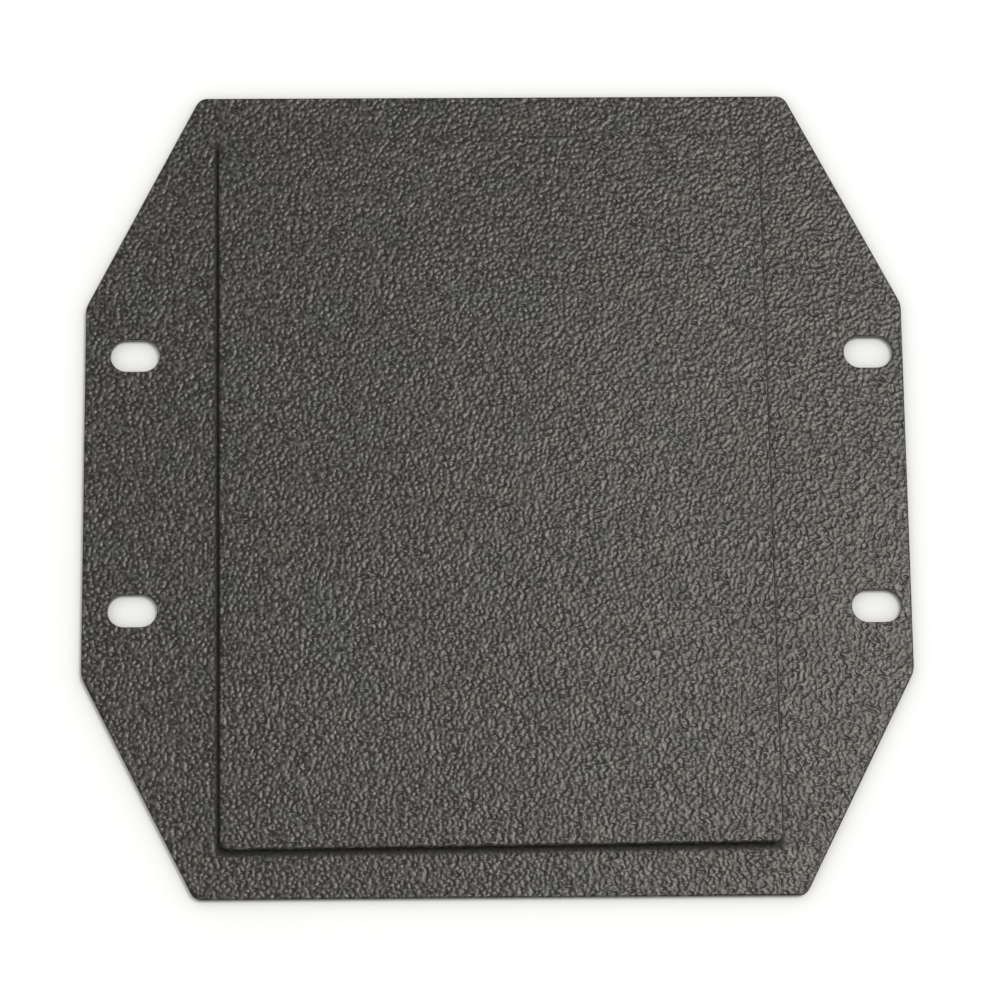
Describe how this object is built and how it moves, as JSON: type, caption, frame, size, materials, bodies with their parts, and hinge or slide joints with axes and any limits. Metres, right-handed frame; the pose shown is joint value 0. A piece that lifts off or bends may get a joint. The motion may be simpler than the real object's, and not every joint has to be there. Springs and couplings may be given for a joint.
{
  "type": "cover plate",
  "caption": "Flat cover plate with cut corners, slotted bolt holes beside its side edges and a raised rectangular panel on its front, in coarse dark powder coat.",
  "frame": {"origin": "middle of the plate's back face", "axes": "+X across the plate along its slots, +Y up the plate, +Z out of its front face"},
  "size_m": [0.2, 0.2, 0.005],
  "materials": {
    "flange_coat": "coarse pebbled powder coat, dark grey, semi-gloss",
    "panel_coat": "coarse pebbled powder coat, dark grey, semi-gloss"
  },
  "bodies": {
    "root": {"flange_plate": "flange_coat", "raised_panel": "panel_coat"}
  },
  "joints": []
}
